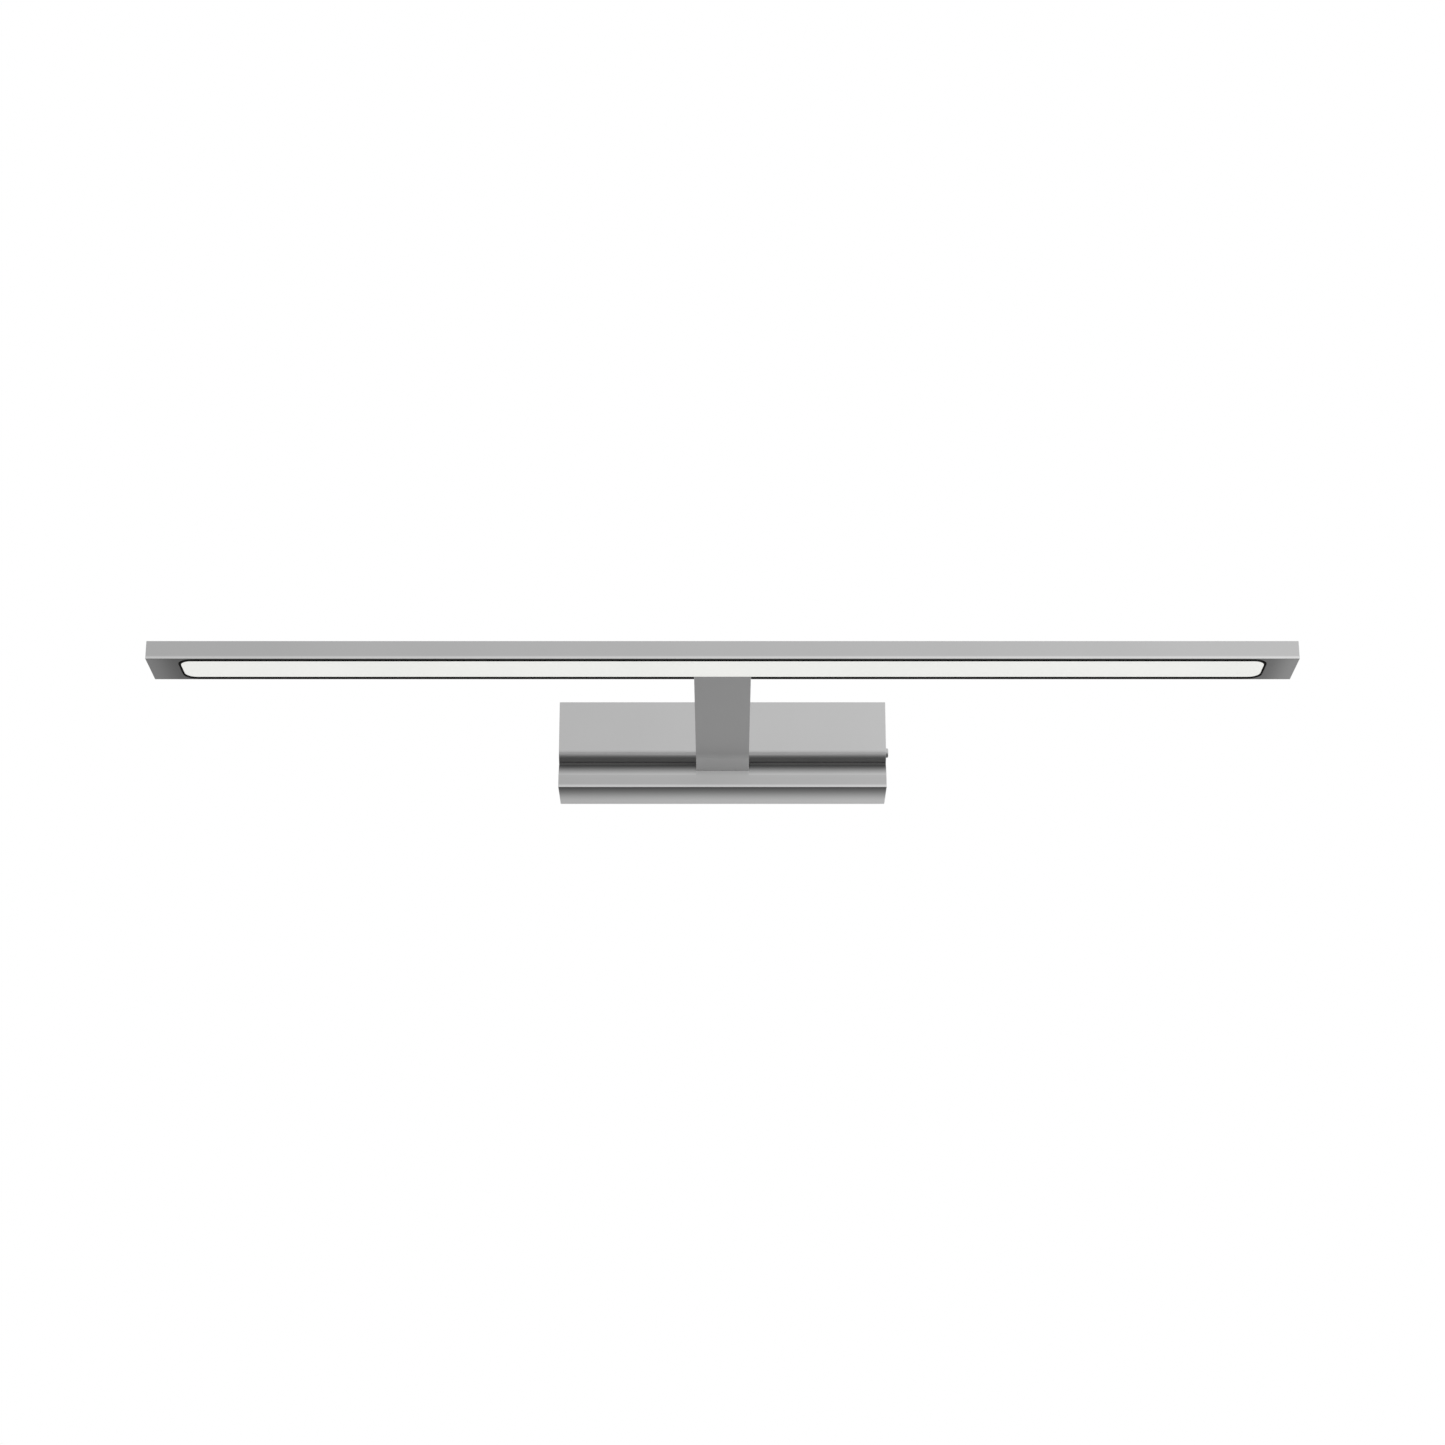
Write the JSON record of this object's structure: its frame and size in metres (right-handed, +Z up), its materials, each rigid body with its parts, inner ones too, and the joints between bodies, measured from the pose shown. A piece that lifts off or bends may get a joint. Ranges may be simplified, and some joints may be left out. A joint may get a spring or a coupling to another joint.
{
  "type": "wall mirror light",
  "caption": "A long flat aluminium light bar with an opal lit window in its underside, held out from the wall by one flat arm on a small grooved wall box with a push switch on its side.",
  "frame": {"origin": "centre of the wall box's back, on the wall plane", "axes": "+X along the bar to the viewer's right, +Y into the wall, +Z up; the bar is on the -Y side"},
  "size_m": [0.6, 0.208, 0.0539],
  "materials": {
    "bar_aluminium": "satin anodised, fine bead-blasted surface",
    "arm_aluminium": "satin anodised",
    "cover_aluminium": "satin anodised",
    "board_aluminium": "white solder mask on aluminium",
    "opal_plastic": "translucent opal white",
    "black_silicone": "matt black",
    "dark_inlay": "matt dark grey",
    "thermal_tape": "matt, slightly tacky",
    "chip_phosphor": "yellow phosphor under clear resin",
    "chip_black": "moulded package",
    "zinc_steel": "zinc plated",
    "brass": "plain",
    "spring_steel": "drawn wire",
    "white_plastic": "moulded polyamide",
    "black_plastic": "moulded",
    "circuit_laminate": "green solder mask",
    "ferrite": "dull sintered",
    "winding_tape": "yellow film tape",
    "capacitor_sleeve": "shrink sleeve",
    "foam_tape": "closed-cell foam",
    "button_metal": "satin",
    "wire_red": "insulated wire",
    "wire_black": "insulated wire",
    "wire_blue": "insulated wire",
    "wire_brown": "insulated wire",
    "wire_green_yellow": "insulated wire, two colours"
  },
  "bodies": {
    "fixture": {"bar_housing": "bar_aluminium", "diffuser": "opal_plastic", "diffuser_gasket": "black_silicone", "led_board": "board_aluminium", "thermal_tape": "thermal_tape", "led_chips": "chip_phosphor", "led_resistors": "chip_black", "arm_tube": "arm_aluminium", "arm_front_block": "arm_aluminium", "arm_rear_block": "arm_aluminium", "arm_front_screws": "zinc_steel", "arm_rear_screws": "zinc_steel", "wire_sleeves": "black_silicone", "lead_positive": "wire_red", "lead_negative": "wire_black", "canopy_shell": "cover_aluminium", "groove_inlay": "dark_inlay", "arm_mount_plate": "zinc_steel", "plate_screws": "zinc_steel", "wall_bracket": "zinc_steel", "canopy_lock_screws": "zinc_steel", "bracket_grommet": "black_silicone", "terminal_block": "white_plastic", "terminal_clamps": "brass", "terminal_screws": "zinc_steel", "terminal_fixing_screws": "zinc_steel", "earth_tag": "brass", "earth_screw": "zinc_steel", "supply_case": "white_plastic", "supply_lid": "white_plastic", "supply_circuit_board": "circuit_laminate", "supply_transformer": "ferrite", "supply_winding": "winding_tape", "supply_capacitors": "capacitor_sleeve", "supply_chips": "chip_black", "supply_tape": "foam_tape", "switch_housing": "black_plastic", "switch_base": "black_plastic", "switch_blades": "brass", "switch_spring": "spring_steel", "switch_screws": "zinc_steel", "wire_neutral": "wire_blue", "wire_earth": "wire_green_yellow", "wire_live": "wire_brown", "wire_switched": "wire_brown"},
    "button": {"switch_button": "button_metal", "switch_bridge": "brass"}
  },
  "joints": [
    {"name": "button_press", "type": "slide", "parent": "fixture", "child": "button", "axis": [-1, 0, 0], "range_m": [0, 0.0008], "stiffness_N_per_m": 800, "springref_m": -0.001, "deforming": ["switch_spring"]}
  ]
}
